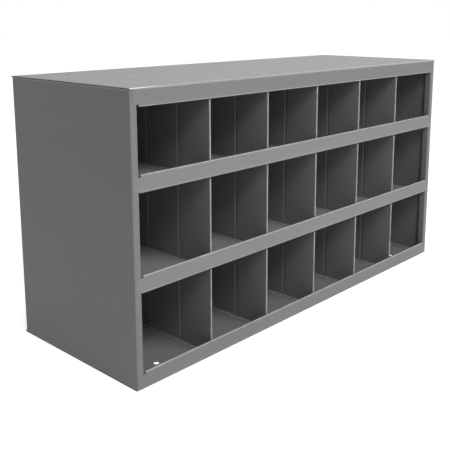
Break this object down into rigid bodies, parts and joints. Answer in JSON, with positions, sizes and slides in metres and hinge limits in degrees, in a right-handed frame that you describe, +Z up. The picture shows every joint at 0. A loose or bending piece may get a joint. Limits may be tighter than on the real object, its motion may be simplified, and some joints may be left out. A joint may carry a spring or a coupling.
{
  "type": "steel bin shelving",
  "caption": "Low wide bin shelving folded from grey painted sheet steel: open front, shelves with hemmed lips, upright dividers that make rows of bins, bolt holes in top and base.",
  "frame": {"origin": "middle of the footprint, on the plane the base rests on", "axes": "+X to the right seen from the open front, +Y to the back, +Z up"},
  "size_m": [0.8572, 0.3048, 0.4445],
  "materials": {
    "grey_paint": "satin grey powder coat on cold rolled sheet steel"
  },
  "bodies": {
    "root": {"left_side": "grey_paint", "right_side": "grey_paint", "back_panel": "grey_paint", "bottom_panel": "grey_paint", "top_panel": "grey_paint", "lower_shelf": "grey_paint", "upper_shelf": "grey_paint", "divider_bottom_1": "grey_paint", "divider_bottom_2": "grey_paint", "divider_bottom_3": "grey_paint", "divider_bottom_4": "grey_paint", "divider_bottom_5": "grey_paint", "divider_middle_1": "grey_paint", "divider_middle_2": "grey_paint", "divider_middle_3": "grey_paint", "divider_middle_4": "grey_paint", "divider_middle_5": "grey_paint", "divider_top_1": "grey_paint", "divider_top_2": "grey_paint", "divider_top_3": "grey_paint", "divider_top_4": "grey_paint", "divider_top_5": "grey_paint"}
  },
  "joints": []
}
